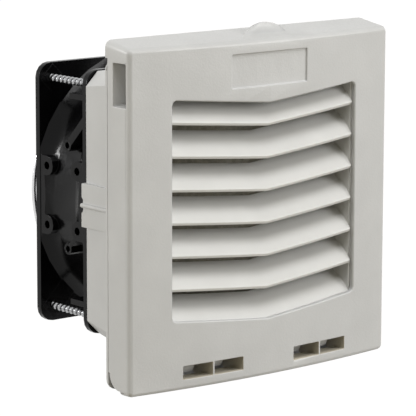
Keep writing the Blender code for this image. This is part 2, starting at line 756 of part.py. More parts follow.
def make_housing(finish):
    bends = (HOUSING_LEVEL, HOUSING_STRAIGHT)
    housing = housing_form("base_housing", [(y, 0.0) for y in (-BITE, *bends, HOUSING_DEPTH)], finish)
    flange = rounded_rectangle(-HALF_WIDTH, HALF_WIDTH, HINGE.z - FLANGE_BELOW_HINGE, FLANGE_TOP,
                               FLANGE_CORNER)
    add(housing, extrude("flange", [flange], -FLANGE_THICKNESS, 0.0, None))
    back = HOUSING_DEPTH - HOUSING_BACK
    first = HOUSING_WALL
    second = HOUSING_WALL + HOUSING_STEP
    seat = GRID_REAR + GAP
    inside = [(-2 * FLANGE_THICKNESS, first), (seat, first)]
    inside += [(y, second) for y in (seat + BITE, *bends, back)]
    cut(housing, housing_form("inside", inside))
    beyond = HOUSING_DEPTH + HOUSING_BACK
    cut(housing, cylinder("air_hole", FAN_BORE, back - HOUSING_BACK, beyond, steps=40))
    for x in (-HOLE_PLACE, HOLE_PLACE):
        for z in (-HOLE_PLACE, HOLE_PLACE):
            start = back - BOSS_LENGTH + HOUSING_BACK
            add(housing, cylinder("boss", BOSS_RADIUS, start, back + BITE, x, z))
            cut(housing, cylinder("pilot", SCREW_RADIUS + GAP, FAN_FRONT - SCREW_ENGAGEMENT - 2 * GAP,
                                  HOUSING_DEPTH + BITE, x, z, None, 12))
    add_pads(housing)
    add_hooks(housing)
    add_tongues(housing)
    return housing


def make_gasket(finish):
    inner = CUTOUT_HALF + GAP
    outer = inner + GASKET_WIDTH
    loops = [rounded_rectangle(-outer, outer, -outer, outer, FLANGE_CORNER),
             rounded_rectangle(-inner, inner, -inner, inner, FLANGE_CORNER / 2)]
    return extrude("panel_gasket", loops, GAP, GAP + GASKET_THICKNESS, finish)


def make_mat(finish):
    half = HOUSING_HALF - HOUSING_WALL - 2 * GAP
    outline = chamfered_square(half, half, HOUSING_CHAMFER)
    return extrude("filter_mat", [outline], MAT_FRONT, MAT_FRONT + MAT_THICKNESS, finish)


def make_grid(finish):
    half = HOUSING_HALF - HOUSING_WALL - GAP
    chamfer = HOUSING_CHAMFER
    pitch = (2 * half - GRID_BAR) / GRID_CELLS
    loops = [chamfered_square(half, half, chamfer)]
    corners = (0, GRID_CELLS - 1)
    for column in range(GRID_CELLS):
        for row in range(GRID_CELLS):
            if column in corners and row in corners:
                continue
            left = -half + GRID_BAR + column * pitch
            bottom = -half + GRID_BAR + row * pitch
            right = left + pitch - GRID_BAR
            top = bottom + pitch - GRID_BAR
            loops.append([(left, bottom), (right, bottom), (right, top), (left, top)])
    return extrude("filter_grid", loops, GRID_FRONT, GRID_REAR, finish)


# The fan

def fan_square(name, half, start, end, finish=None):
    """Square with the fan's rounded corners."""
    return extrude(name, [rounded_rectangle(-half, half, -half, half, FAN_CORNER, 4)], start, end, finish)


def corner_signs():
    """Signs of x and z at the four corners."""
    return [(x, z) for x in (-1, 1) for z in (-1, 1)]


def side_root(reach):
    """Barrel's half width at a height, inside its wall."""
    return sqrt((FAN_BORE + BARREL_WALL / 2) ** 2 - reach ** 2)


def make_barrel():
    """Round barrel that flares into both flanges and is cut off at the fan's four sides."""
    front = FAN_FRONT + FAN_FLANGE / 2
    rear = FAN_REAR - FAN_FLANGE / 2
    profile = [(0.0, front)]
    flare = []
    for i in range(FLARE_STEPS + 1):
        part = i / FLARE_STEPS
        swell = (FLARE_RADIUS - BARREL_RADIUS) * (1 - part) ** 2
        flare.append((BARREL_RADIUS + swell, part * FLARE_LENGTH))
    profile += [(radius, front + back) for radius, back in flare]
    profile += [(radius, rear - back) for radius, back in flare[::-1]]
    profile += [(0.0, rear)]
    barrel = revolve("barrel", profile, None, 36)
    return boolean(barrel, (fan_square("limit", FAN_HALF - GAP, FAN_FRONT, FAN_REAR),), "INTERSECT")


def add_gussets(frame):
    """Level gusset from the front flange to the barrel beside each screw."""
    bottom = HOLE_PLACE - GUSSET_UNDER_HOLE
    top = bottom + GUSSET_THICKNESS
    start = FAN_FRONT + FAN_FLANGE - BITE
    for x, z in corner_signs():
        outer = x * (FAN_HALF - BARREL_WALL)
        inner = x * side_root(top)
        outline = [(outer, start), (outer, start + GUSSET_TOE),
                   (inner, start + GUSSET_LENGTH), (inner, start)]
        low, high = sorted((z * bottom, z * top))
        add(frame, extrude_up("gusset", outline, low, high))


def add_side_piece(frame, side, outline, reach):
    """Cast feature that stands out from the barrel to the fan's side plane."""
    start, end = sorted((side * side_root(reach), side * (FAN_HALF - GAP)))
    add(frame, extrude("side_piece", [outline], start, end, None, axis="X"))


def drill_side(frame, side, y, z, hole):
    outer = FAN_HALF + GAP
    start, end = sorted((side * (FAN_HALF - EAR_HOLE_DEPTH), side * outer))
    cut(frame, extrude("eye_hole", [arc((y, z), hole, 0, 2 * pi, 8)[:-1]], start, end, None, axis="X"))


def add_ears(frame, side):
    """Round-ended tongues from both flanges, each with an eye."""
    for z in (-EAR_Z, EAR_Z):
        for y, face, lean in ((FAN_FRONT + EAR_INSET, FAN_FRONT + FAN_FLANGE - BITE, 1),
                              (FAN_REAR - EAR_INSET, FAN_REAR - FAN_FLANGE + BITE, -1)):
            middle = 0.0 if lean > 0 else pi
            outline = arc((y, z), EAR_RADIUS, middle - pi / 2, middle + pi / 2, 6)
            outline += [(face, z + lean * EAR_RADIUS), (face, z - lean * EAR_RADIUS)]
            add_side_piece(frame, side, outline, EAR_Z + EAR_RADIUS)


def add_posts(frame, side):
    """Small posts, each with an arm that rises to the front flange."""
    y = FAN_FRONT + POST_INSET
    foot = FAN_FRONT + FAN_FLANGE - BITE
    for z, width in ((-POST_LOWER, ARM_LOWER), (POST_UPPER, ARM_UPPER)):
        half = width / 2 / sqrt(2)
        reach = z + y - foot
        add_side_piece(frame, side, arc((y, z), POST_RADIUS, 0, 2 * pi, 10)[:-1], abs(z) + POST_RADIUS)
        outline = [(y - half, z - half), (foot, reach - 2 * half),
                   (foot, reach + 2 * half), (y + half, z + half)]
        add_side_piece(frame, side, outline, max(abs(z), abs(reach)) + width)


def drill_eyes(frame, side):
    """Holes of the ears and posts."""
    for z in (-EAR_Z, EAR_Z):
        for y in (FAN_FRONT + EAR_INSET, FAN_REAR - EAR_INSET):
            drill_side(frame, side, y, z, EAR_HOLE)
    for z in (-POST_LOWER, POST_UPPER):
        drill_side(frame, side, FAN_FRONT + POST_INSET, z, POST_HOLE)


def make_fan_frame(finish):
    """Die-cast frame: two square flanges and the round barrel between them."""
    frame = fan_square("fan_frame", FAN_HALF, FAN_FRONT, FAN_FRONT + FAN_FLANGE, finish)
    add(frame, fan_square("rear_flange", FAN_HALF, FAN_REAR - FAN_FLANGE, FAN_REAR))
    add(frame, make_barrel())
    add_gussets(frame)
    for side in (-1, 1):
        add_ears(frame, side)
        add_posts(frame, side)
        drill_eyes(frame, side)
    cut(frame, cylinder("bore", FAN_BORE, FAN_FRONT - FAN_FLANGE, FAN_REAR + FAN_FLANGE, steps=40))
    for x, z in corner_signs():
        cut(frame, cylinder("screw_hole", SCREW_HOLE, FAN_FRONT - FAN_FLANGE, FAN_REAR + FAN_FLANGE,
                            x * HOLE_PLACE, z * HOLE_PLACE, None, 12))
    return frame


def make_spider(finish):
    """Motor carrier: hub plate with the bearing tube, on four struts."""
    tube_front = FAN_FRONT + TUBE_FRONT
    hub = [(0.0, FAN_REAR), (0.0, HUB_FRONT), (BORE_RADIUS, HUB_FRONT), (BORE_RADIUS, tube_front),
           (TUBE_RADIUS, tube_front), (TUBE_RADIUS, HUB_FRONT - HUB_THICKNESS),
           (TUBE_RADIUS + HUB_THICKNESS, HUB_FRONT), (HUB_RADIUS, HUB_FRONT), (HUB_RADIUS, FAN_REAR)]
    spider = revolve("motor_spider", hub, finish, 24)
    half = STRUT_WIDTH / 2
    for strut in range(STRUTS):
        bar = box("strut", (HUB_RADIUS - STRUT_DEPTH, FAN_REAR - STRUT_DEPTH, -half),
                  (FAN_BORE - GAP, FAN_REAR - BITE, half))
        bar.data.transform(Matrix.Rotation(-pi / 4 - strut * 2 * pi / STRUTS, 4, "Y"))
        add(spider, bar)
    return spider


def polar_plate_outline(outer, shoe, neck, yoke, shoe_half):
    """Outline of the stator with its poles."""
    points = []
    for pole in range(POLES):
        middle = 2 * pi * pole / POLES + pi / POLES
        inner = outer - shoe
        neck_turn = asin(neck / 2 / inner)
        root_turn = asin(neck / 2 / yoke)
        points += arc((0, 0), outer, middle - shoe_half, middle + shoe_half, 6)
        points += arc((0, 0), inner, middle + shoe_half, middle + neck_turn, 3)
        points += [(yoke * cos(middle + root_turn), yoke * sin(middle + root_turn))]
        following = middle + 2 * pi / POLES
        points += [(yoke * cos(following - root_turn), yoke * sin(following - root_turn))]
        points += arc((0, 0), inner, following - neck_turn, following - shoe_half, 3)
    return points


def make_stator(core_finish, plastic, copper):
    """Laminated core on the bearing tube, an insulator on each face and a coil on each pole."""
    hole = TUBE_RADIUS + GAP
    yoke = hole + YOKE_WALL
    shoe_half = radians(36)
    core = polar_plate_outline(CORE_RADIUS, POLE_SHOE, POLE_NECK, yoke, shoe_half)
    bore = arc((0, 0), hole, 0, 2 * pi, 20)[:-1]
    extrude("stator_core", [core, bore], CORE_FRONT, CORE_FRONT + CORE_LENGTH, core_finish)
    thin = polar_plate_outline(CORE_RADIUS - GAP, POLE_SHOE, POLE_NECK, yoke, shoe_half)
    front = CORE_FRONT - GAP
    rear = CORE_FRONT + CORE_LENGTH + GAP
    extrude("insulator_front", [thin, bore], front - INSULATOR, front, plastic)
    extrude("insulator_rear", [thin, bore], rear, rear + INSULATOR, plastic)
    inside_w = POLE_NECK / 2 + GAP
    inside_h = CORE_LENGTH / 2 + INSULATOR + 2 * GAP
    outside_w = inside_w + COIL_WALL
    outside_h = inside_h + COIL_WALL
    middle = CORE_FRONT + CORE_LENGTH / 2
    start = sqrt(yoke ** 2 + inside_w ** 2)
    end = sqrt((CORE_RADIUS - POLE_SHOE) ** 2 - outside_w ** 2) - 2 * GAP
    for pole in range(POLES):
        outer = rounded_rectangle(middle - outside_h, middle + outside_h, -outside_w, outside_w,
                                  COIL_WALL / 2, 3)
        inner = rounded_rectangle(middle - inside_h, middle + inside_h, -inside_w, inside_w, GAP, 2)
        coil = extrude("coil_%d" % (pole + 1), [outer, inner], start, end, copper, axis="X")
        coil.data.transform(Matrix.Rotation(-pi / POLES - 2 * pi * pole / POLES, 4, "Y"))


def make_rotor(steel, alloy, plastic):
    """Rotor cup with its cage ring, on the shaft, in the impeller's hub."""
    face = ROTOR_FACE
    rim = face + ROTOR_LENGTH
    inner = ROTOR_RADIUS - ROTOR_WALL
    hole = SHAFT_RADIUS + GAP
    cup = [(hole, face), (ROTOR_RADIUS, face), (ROTOR_RADIUS, rim), (inner, rim), (inner, face + ROTOR_WALL),
           (2 * hole, face + ROTOR_WALL), (2 * hole, face + 3 * ROTOR_WALL), (hole, face + 3 * ROTOR_WALL)]
    revolve("rotor_cup", cup, steel, 28)
    cage_outer = inner - GAP
    cage = [(cage_outer, CORE_FRONT), (cage_outer, CORE_FRONT + CORE_LENGTH),
            (cage_outer - CAGE_WALL, CORE_FRONT + CORE_LENGTH), (cage_outer - CAGE_WALL, CORE_FRONT)]
    revolve("rotor_cage", cage, alloy, 28)
    shaft_rear = HUB_FRONT - 2 * GAP
    groove = shaft_rear - 2 * RING_THICKNESS
    neck = SHAFT_RADIUS - 2 * GAP
    shaft = [(0.0, face), (SHAFT_RADIUS, face), (SHAFT_RADIUS, groove - RING_THICKNESS - 2 * GAP),
             (neck, groove - RING_THICKNESS - 2 * GAP), (neck, groove), (SHAFT_RADIUS, groove),
             (SHAFT_RADIUS, shaft_rear), (0.0, shaft_rear)]
    revolve("shaft", shaft, steel, 12)
    ring_rear = groove - GAP
    ring = [(neck + GAP, ring_rear - RING_THICKNESS), (2 * SHAFT_RADIUS, ring_rear - RING_THICKNESS),
            (2 * SHAFT_RADIUS, ring_rear), (neck + GAP, ring_rear)]
    revolve("retaining_ring", ring, steel, 12)
    bearing = SHAFT_RADIUS + GAP
    rear_end = ring_rear - RING_THICKNESS - GAP
    front_end = FAN_FRONT + TUBE_FRONT + SPRING_THICKNESS + 2 * GAP
    for name, start in (("bearing_front", front_end), ("bearing_rear", rear_end - BEARING_WIDTH)):
        race = [(bearing, start), (BEARING_RADIUS, start), (BEARING_RADIUS, start + BEARING_WIDTH),
                (bearing, start + BEARING_WIDTH)]
        revolve(name, race, steel, 20)
    spring_start = front_end + BEARING_WIDTH + GAP
    spring = [(bearing + BARREL_WALL / 2, spring_start), (BEARING_RADIUS - GAP, spring_start),
              (BEARING_RADIUS - GAP, spring_start + SPRING_THICKNESS),
              (bearing + BARREL_WALL / 2, spring_start + SPRING_THICKNESS)]
    revolve("preload_spring", spring, steel, 16)
    make_impeller(plastic)


def impeller_blade(name, root, tip, front, rear):
    """Twisted blade: its stagger falls from root to tip, and its edges follow the bore."""
    spans, chords = 3, 4
    bm = bmesh.new()
    sheets = []
    for side in (-1, 1):
        sheet = []
        for s in range(spans + 1):
            part = s / spans
            radius = root + (tip - root) * part
            thickness = BLADE_ROOT_THICKNESS + (BLADE_TIP_THICKNESS - BLADE_ROOT_THICKNESS) * part
            length = rear - front
            sweep = length * (0.95 + 0.55 * part) / radius
            lead = 0.10 * length * part
            row = []
            for c in range(chords + 1):
                chord = c / chords
                turn = sweep * (chord - 0.5) + 0.22 * sin(pi * chord) * sweep
                thin = thickness * (1 - 0.75 * (2 * chord - 1) ** 2)
                angle = turn + side * thin / 2 / radius
                y = front + lead + (length - 1.5 * lead) * chord
                row.append(bm.verts.new((radius * cos(angle), y, radius * sin(angle))))
            sheet.append(row)
        sheets.append(sheet)
    low, high = sheets
    for s in range(spans):
        for c in range(chords):
            bm.faces.new((low[s][c], low[s][c + 1], low[s + 1][c + 1], low[s + 1][c]))
            bm.faces.new((high[s][c], high[s + 1][c], high[s + 1][c + 1], high[s][c + 1]))
        for c in (0, chords):
            bm.faces.new((low[s][c], low[s + 1][c], high[s + 1][c], high[s][c]))
    for c in range(chords):
        for s in (0, spans):
            bm.faces.new((low[s][c], low[s][c + 1], high[s][c + 1], high[s][c]))
    return add_object(name, bm, None)


def make_impeller(plastic):
    inner = ROTOR_RADIUS + GAP
    outer = inner + HUB_RING
    front = ROTOR_FACE + ROTOR_WALL
    rear = ROTOR_FACE + ROTOR_LENGTH - ROTOR_WALL
    hub = [(inner, front), (outer - GAP, front), (outer, front + ROTOR_WALL), (outer, rear), (inner, rear)]
    impeller = revolve("impeller", hub, plastic, 28)
    tip = FAN_BORE - TIP_CLEARANCE
    for blade in range(IMPELLER_BLADES):
        made = impeller_blade("blade", outer - HUB_RING / 2, tip, front + ROTOR_WALL, rear - ROTOR_WALL)
        made.data.transform(Matrix.Rotation(2 * pi * blade / IMPELLER_BLADES, 4, "Y"))
        add(impeller, made)
    return impeller


def make_screws(zinc):
    """Long screws through guard, frame and flanges into the housing's bosses."""
    place = HOLE_PLACE
    seat = FAN_REAR + 2 * GAP + 2 * GUARD_WIRE
    number = 0
    for z in (place, -place):
        for x in (-place, place):
            number += 1
            tip = FAN_FRONT - SCREW_ENGAGEMENT
            crown = seat + SCREW_HEAD_HEIGHT
            profile = [(0.0, tip), (SCREW_RADIUS * 0.5, tip), (SCREW_RADIUS, tip + SCREW_RADIUS),
                       (SCREW_RADIUS, seat), (SCREW_HEAD_RADIUS, seat),
                       (SCREW_HEAD_RADIUS, seat + 0.5 * SCREW_HEAD_HEIGHT),
                       (0.6 * SCREW_HEAD_RADIUS, crown), (0.0, crown)]
            screw = revolve("fan_screw_%d" % number, profile, zinc, 12)
            screw.data.transform(Matrix.Translation((x, 0.0, z)))


def make_guard(wire):
    """Wire guard: rings on four legs that end in eyes under the screw heads."""
    plane = FAN_REAR + GUARD_STANDOFF
    foot = FAN_REAR + GAP + GUARD_WIRE
    steps = 28
    guard = None
    for ring in range(GUARD_RINGS):
        radius = GUARD_INNER + (GUARD_OUTER - GUARD_INNER) * ring / (GUARD_RINGS - 1)
        turns = [2 * pi * i / steps for i in range(steps)]
        made = tube_along("finger_guard", [(radius * cos(a), plane, radius * sin(a)) for a in turns],
                          GUARD_WIRE, wire, 4, True)
        if guard is None:
            guard = made
        else:
            add(guard, made)
    corner = HOLE_PLACE * sqrt(2)
    for leg in range(4):
        angle = pi / 4 + leg * pi / 2
        eye_inner = EYE_RADIUS - GUARD_WIRE
        straight = GUARD_OUTER + LEG_STRAIGHT
        toe = corner - eye_inner
        points = [(GUARD_LEG_INNER, plane - GUARD_WIRE), (straight, plane - GUARD_WIRE),
                  (straight + LEG_FOOT, plane - LEG_DROP), (toe - LEG_BEND, foot + GUARD_WIRE),
                  (toe - LEG_FOOT, foot), (toe, foot)]
        path = [(r * cos(angle), y, r * sin(angle)) for r, y in points]
        made = tube_along("leg", path, GUARD_WIRE, None, 4)
        add(guard, made)
        centre = (corner * cos(angle), corner * sin(angle))
        eye = arc(centre, EYE_RADIUS - GUARD_WIRE / 2, angle, angle + 2 * pi, 12)[:-1]
        add(guard, tube_along("eye", [(x, foot, z) for x, z in eye], GUARD_WIRE, None, 4, True))
    return guard


def make_terminals(plastic, tin, zinc):
    """Terminal block on the barrel with two flat blades, and the earth screw beside it."""
    middle = (FAN_FRONT + FAN_REAR) / 2
    root = BARREL_RADIUS + GAP
    top = root + BLOCK_HEIGHT
    block = box("terminal_block", (root, middle - BLOCK_LENGTH / 2, -BLOCK_WIDTH / 2),
                (top, middle + BLOCK_LENGTH / 2, BLOCK_WIDTH / 2), plastic)
    made = [block]
    for number, side in ((1, -1), (2, 1)):
        across = side * BLOCK_WIDTH / 4
        half = TERMINAL_THICKNESS / 2
        wide = TERMINAL_WIDTH / 2
        depth = BLOCK_HEIGHT / 2
        cut(block, box("terminal_hole", (top - depth - GAP, middle - wide - GAP, across - half - GAP),
                       (top + GAP, middle + wide + GAP, across + half + GAP)))
        made.append(box("terminal_%d" % number, (top - depth, middle - wide, across - half),
                        (top + TERMINAL_REACH - depth, middle + wide, across + half), tin))
    for piece in made:
        piece.data.transform(Matrix.Rotation(-TERMINAL_ANGLE, 4, "Y"))
    head = [(0.0, root), (EARTH_HEAD, root), (EARTH_HEAD, root + 0.5 * EARTH_HEAD),
            (0.6 * EARTH_HEAD, root + 0.8 * EARTH_HEAD), (0.0, root + 0.8 * EARTH_HEAD)]
    earth = revolve("earth_screw", head, zinc, 12)
    earth.data.transform(Matrix.Rotation(-pi / 2, 4, "Z"))
    earth.data.transform(Matrix.Translation((0.0, middle, 0.0)))
    earth.data.transform(Matrix.Rotation(-EARTH_ANGLE, 4, "Y"))


def pivot(name, place, pieces):
    """Empty on a joint axis that carries the pieces which move about it."""
    empty = bpy.data.objects.new(name, None)
    empty.location = place
    bpy.context.scene.collection.objects.link(empty)
    bpy.context.view_layer.update()
    for piece in pieces:
        made = bpy.data.objects[piece]
        made.parent = empty
        made.matrix_parent_inverse = empty.matrix_world.inverted()


def main():
    clear_scene()
    grey = material("light_grey_plastic", (0.52, 0.525, 0.49), 0.55)
    pale = material("housing_plastic", (0.55, 0.555, 0.52), 0.55)
    black = material("black_casting", (0.02, 0.02, 0.021), 0.42, 0.3)
    dark = material("black_plastic", (0.03, 0.03, 0.03), 0.5)
    fibre = material("filter_fibre", (0.75, 0.76, 0.74), 0.95)
    foam = material("foam_rubber", (0.05, 0.05, 0.05), 0.9)
    steel = material("bright_steel", (0.6, 0.6, 0.62), 0.3, 1.0)
    zinc = material("zinc_plated_steel", (0.68, 0.68, 0.67), 0.35, 1.0)
    copper = material("copper_wire", (0.72, 0.33, 0.15), 0.4, 0.9)
    core = material("core_laminations", (0.35, 0.36, 0.38), 0.5, 0.9)

    make_cover_frame(grey)
    make_louvre(grey)
    make_housing(pale)
    make_gasket(foam)
    make_mat(fibre)
    make_grid(pale)
    make_fan_frame(black)
    make_spider(black)
    make_stator(core, dark, copper)
    make_rotor(steel, core, dark)
    make_screws(zinc)
    make_guard(steel)
    make_terminals(dark, zinc, zinc)
    pivot("cover_hinge", HINGE, ("cover_frame", "louvre_grille"))
    pivot("fan_axis", Vector((0.0, FAN_FRONT, 0.0)),
          ("impeller", "rotor_cup", "rotor_cage", "shaft", "retaining_ring"))


main()
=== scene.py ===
"""Looks of the cabinet filter fan: materials, fine detail, studio light and camera."""
from math import cos, pi, radians, sin

import bmesh
import bpy
from mathutils import Matrix, Vector
from mathutils.bvhtree import BVHTree


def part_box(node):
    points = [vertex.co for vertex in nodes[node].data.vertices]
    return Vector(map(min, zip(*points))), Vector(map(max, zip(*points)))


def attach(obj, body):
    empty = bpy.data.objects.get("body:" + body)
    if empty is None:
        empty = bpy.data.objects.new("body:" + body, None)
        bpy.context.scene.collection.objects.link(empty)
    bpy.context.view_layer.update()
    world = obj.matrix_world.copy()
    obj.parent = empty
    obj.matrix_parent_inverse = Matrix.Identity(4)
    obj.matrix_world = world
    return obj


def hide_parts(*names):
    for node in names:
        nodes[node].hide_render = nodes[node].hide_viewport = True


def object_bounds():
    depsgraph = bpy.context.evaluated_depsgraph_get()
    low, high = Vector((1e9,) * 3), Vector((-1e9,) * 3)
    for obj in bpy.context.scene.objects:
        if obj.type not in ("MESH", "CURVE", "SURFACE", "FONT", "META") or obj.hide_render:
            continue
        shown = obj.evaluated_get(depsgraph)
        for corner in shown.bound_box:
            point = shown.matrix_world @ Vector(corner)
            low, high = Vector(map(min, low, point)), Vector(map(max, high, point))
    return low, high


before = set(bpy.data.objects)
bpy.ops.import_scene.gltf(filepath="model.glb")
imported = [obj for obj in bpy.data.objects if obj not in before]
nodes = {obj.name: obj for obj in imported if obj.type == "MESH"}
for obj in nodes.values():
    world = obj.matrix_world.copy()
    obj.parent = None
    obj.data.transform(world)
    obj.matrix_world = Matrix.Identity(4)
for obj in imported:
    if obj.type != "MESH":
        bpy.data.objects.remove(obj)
cad_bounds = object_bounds()

MM = 0.001

# Camera, from the fit to the photograph
YAW = radians(-39.795)
ELEVATION = radians(10.102)
ROLL = radians(0.153)
DISTANCE = 1.18191
TARGET = Vector((-0.01766, 0.0, -0.00174))
LENS = 230.75
SENSOR_WIDTH = 36.0
CLIP_NEAR = 0.05
CLIP_FAR = 20.0

# Lamps: name, place and width in metres, power in watts
LAMPS = (
    ("top_lamp", (-0.2, -1.0, 2.0), 1.4, 31.0),
    ("key_lamp", (1.8, -2.3, 0.85), 1.8, 49.0),
    ("left_lamp", (-2.2, 1.5, 0.75), 0.7, 43.0),
)

# Dim warm light from all round, and a floor that glows where the background is seen
AMBIENT = 0.27
AMBIENT_COLOUR = (1.0, 0.93, 0.70, 1.0)
FLOOR_COLOUR = (0.30, 0.27, 0.20, 1.0)
FLOOR_ROUGHNESS = 0.9
FLOOR_GLOW = 1.14
FLOOR_GLOW_SHARE = 0.88
FLOOR_HALF_WIDTH = 3.0
FLOOR_GAP = 0.2 * MM

# Surfaces: detail of the noise, the part of it that is spread between two colours, and a limit
PATCH_DETAIL = 4.0
GRAIN_DETAIL = 3.0
NOISE_MIDDLE = (0.3, 0.7)
LOWEST_ROUGHNESS = 0.03

# Edges that turn by more than these angles show sharp, even where the mesh is smooth
SOLID_SMOOTHING = radians(35)
SCREW_SMOOTHING = radians(50)
WIRE_SMOOTHING = radians(60)

# Edges that turn by more than EDGE_ANGLE are rounded, in each part by a width of its own
EDGE_ANGLE = radians(28)
COVER_ROUNDING = 0.35 * MM
LOUVRE_ROUNDING = 0.3 * MM
HOUSING_ROUNDING = 0.3 * MM
CASTING_ROUNDING = 0.12 * MM
WELD_DISTANCE = 1e-6

# Weight of an ordinary edge, against 1 for those with more rounding
PLAIN_WEIGHT = 0.5

# Boxes by two corners, in millimetres: edges that stay crisp
TAB_FOOT = ((-7.5, -12.0, 70.0), (18.5, -9.0, 90.0))
COVER_SEAM = ((-80.0, -2.0, -90.0), (80.0, 0.1, 90.0))
FLANGE_SEAMS = (
    ((-80.0, -1.6, -90.0), (-70.0, -1.4, 90.0)),
    ((70.0, -1.6, -90.0), (80.0, -1.4, 90.0)),
)

# Edges with more rounding, and the faces inside the slots, which get a darker warm surface as painted shade
WINDOW_RIM = ((-54.5, -30.0, -52.0), (54.5, -17.0, 52.0))
SLOT_SHADE_INSIDE = (
    ((-49.0, -22.0, -77.0), (-13.0, -3.0, -60.0)),
    ((13.0, -22.0, -77.0), (49.0, -3.0, -60.0)),
)

# Sills behind the slots, in millimetres: inner end, outer end and front of the two on each side
SILLS = ((14.6, 31.4, -20.0), (31.0, 47.8, -18.7))
SILL_REAR = -11.8

# Their heights above the cover's lowest point
SILL_BOTTOM = 2.0
SILL_TOP = 4.65

# Strips and ribs on the inner faces of the fan's flanges, in millimetres
FLANGE_THICKNESS = 3.0
CAST_ROOT = 0.4
STRIP_HEIGHT = 0.3
STRIP_HALF_WIDTH = 4.75
RIB_DEPTH = 12.5

# Their places from the fan axis: strips along the diagonal, ribs along x and z
STRIP_START = 56.5
STRIP_END = 78.5
RIB_START = 36.0
RIB_END = 57.3
RIB_NEAR = 45.4
RIB_FAR = 47.9

# Directions of the fan's four corners
CORNER_ANGLES = [pi / 4 + corner * pi / 2 for corner in range(4)]

# Fan screws
THREAD_PITCH = 3.0 * MM
THREAD_DEPTH = 0.55 * MM
THREAD_STEP = THREAD_PITCH / 12
CREST_SLOPE = 1.9
# Crest height below which a corner is in the valley, where shade is painted
VALLEY_LEVEL = 0.15
SCREW_RADIUS = 1.9 * MM
SCREW_SIDES = 20
POINT_LENGTH = 2.5 * MM
POINT_SHARE = 0.45
HEAD_HEIGHT = 2.6 * MM

# Pan head and its recess: share of the head's height, and radius in millimetres
HEAD_PROFILE = ((0.0, 3.88), (0.25, 3.9), (0.55, 3.7), (0.8, 3.0), (0.95, 2.0), (1.0, 1.1), (0.6, 0.7))

# Finger guard
WIRE_RADIUS = 1.0 * MM
WIRE_SIDES = 12
GUARD_RINGS = 5
GUARD_STEPS = 72
FIRST_RING = 15.0 * MM
RING_SPACING = 10.0 * MM
EYE_PLACE = 74.1 * MM
EYE_RADIUS = 3.5 * MM
EYE_STEPS = 28

# A direction that no wire follows
ASKEW = Vector((0.3, 1.0, 0.2))


# Materials

def node_tree(name):
    """New material, with its nodes and links."""
    made = bpy.data.materials.new(name)
    made.use_nodes = True
    return made, made.node_tree.nodes, made.node_tree.links


def noise(tree_nodes, links, scale, detail, stretch):
    """Noise in the object's own coordinates, in metres."""
    place = tree_nodes.new("ShaderNodeTexCoord")
    mapping = tree_nodes.new("ShaderNodeMapping")
    mapping.inputs["Scale"].default_value = stretch
    made = tree_nodes.new("ShaderNodeTexNoise")
    made.inputs["Scale"].default_value = scale
    made.inputs["Detail"].default_value = detail
    links.new(place.outputs["Object"], mapping.inputs["Vector"])
    links.new(mapping.outputs["Vector"], made.inputs["Vector"])
    return made.outputs["Fac"]


def ramp(tree_nodes, links, source, low, high):
    """Spreads the middle part of a 0..1 value between two colours."""
    made = tree_nodes.new("ShaderNodeValToRGB")
    for element, position, colour in zip(made.color_ramp.elements, NOISE_MIDDLE, (low, high)):
        element.position = position
        element.color = (*colour, 1.0)
    links.new(source, made.inputs["Fac"])
    return made.outputs["Color"]


def surface(name, colour, roughness, metallic=0.0, vary=0.06, rough_vary=0.08, patch=60.0, grain=1500.0,
            bump=0.1, depth=0.00006, stretch=(1.0, 1.0, 1.0), specular=0.5):
    """Principled surface with procedural colour, roughness and grain."""
    made, tree_nodes, links = node_tree(name)
    shader = tree_nodes["Principled BSDF"]
    patches = noise(tree_nodes, links, patch, PATCH_DETAIL, stretch)
    low = tuple(max(0.0, c * (1 - vary)) for c in colour)
    high = tuple(min(1.0, c * (1 + vary)) for c in colour)
    links.new(ramp(tree_nodes, links, patches, low, high), shader.inputs["Base Color"])
    fine = noise(tree_nodes, links, grain, GRAIN_DETAIL, stretch)
    rough_low = (max(LOWEST_ROUGHNESS, roughness - rough_vary),) * 3
    rough_high = (min(1.0, roughness + rough_vary),) * 3
    links.new(ramp(tree_nodes, links, fine, rough_low, rough_high), shader.inputs["Roughness"])
    relief = tree_nodes.new("ShaderNodeBump")
    relief.inputs["Strength"].default_value = bump
    relief.inputs["Distance"].default_value = depth
    links.new(fine, relief.inputs["Height"])
    links.new(relief.outputs["Normal"], shader.inputs["Normal"])
    shader.inputs["Metallic"].default_value = metallic
    shader.inputs["Specular IOR Level"].default_value = specular
    return made


def cover_plastic():
    """Light grey, with a fine moulded grain."""
    return surface("light_grey_plastic_look", (0.52, 0.525, 0.533), 0.38, vary=0.03, grain=1100.0, bump=1.1)


def slot_painted_shade():
    """Painted shade: the cover's plastic, darker and warmer, for the faces inside the slots."""
    return surface("slot_painted_shade_look", (0.46, 0.425, 0.35), 0.5, vary=0.05, grain=1100.0, bump=0.5)


def louvre_plastic_with_painted_light():
    """The cover's plastic painted a little lighter, as painted light on the upward-facing blades, with less
    grain.
    """
    return surface("louvre_plastic_with_painted_light_look", (0.61, 0.612, 0.608), 0.4, vary=0.03, grain=1700.0, bump=0.5)


def housing_plastic():
    """The cover's grey, nearly smooth."""
    return surface("housing_plastic_look", (0.52, 0.525, 0.533), 0.5, vary=0.03, grain=1800.0, bump=0.2)


def black_casting():
    """Painted die casting."""
    return surface("black_casting_look", (0.002, 0.002, 0.0023), 0.21, vary=0.3, rough_vary=0.05,
                   grain=700.0, bump=0.3, depth=0.0001, specular=0.15)


def black_plastic():
    """Moulded parts of the fan."""
    return surface("black_plastic_look", (0.016, 0.016, 0.017), 0.42, vary=0.2, grain=1400.0)


def filter_fibre_painted_shade():
    """Coarse and matt, painted darker and warmer than the mat's own grey, as shade in the gaps between the
    blades.
    """
    return surface("filter_fibre_painted_shade_look", (0.25, 0.24, 0.205), 0.95, vary=0.18, patch=500.0, grain=900.0,
                   bump=0.9, depth=0.0006)


def foam_rubber():
    """Dark and matt."""
    return surface("foam_rubber_look", (0.035, 0.035, 0.036), 0.9, vary=0.3, patch=700.0, grain=1600.0,
                   bump=0.7, depth=0.0002)


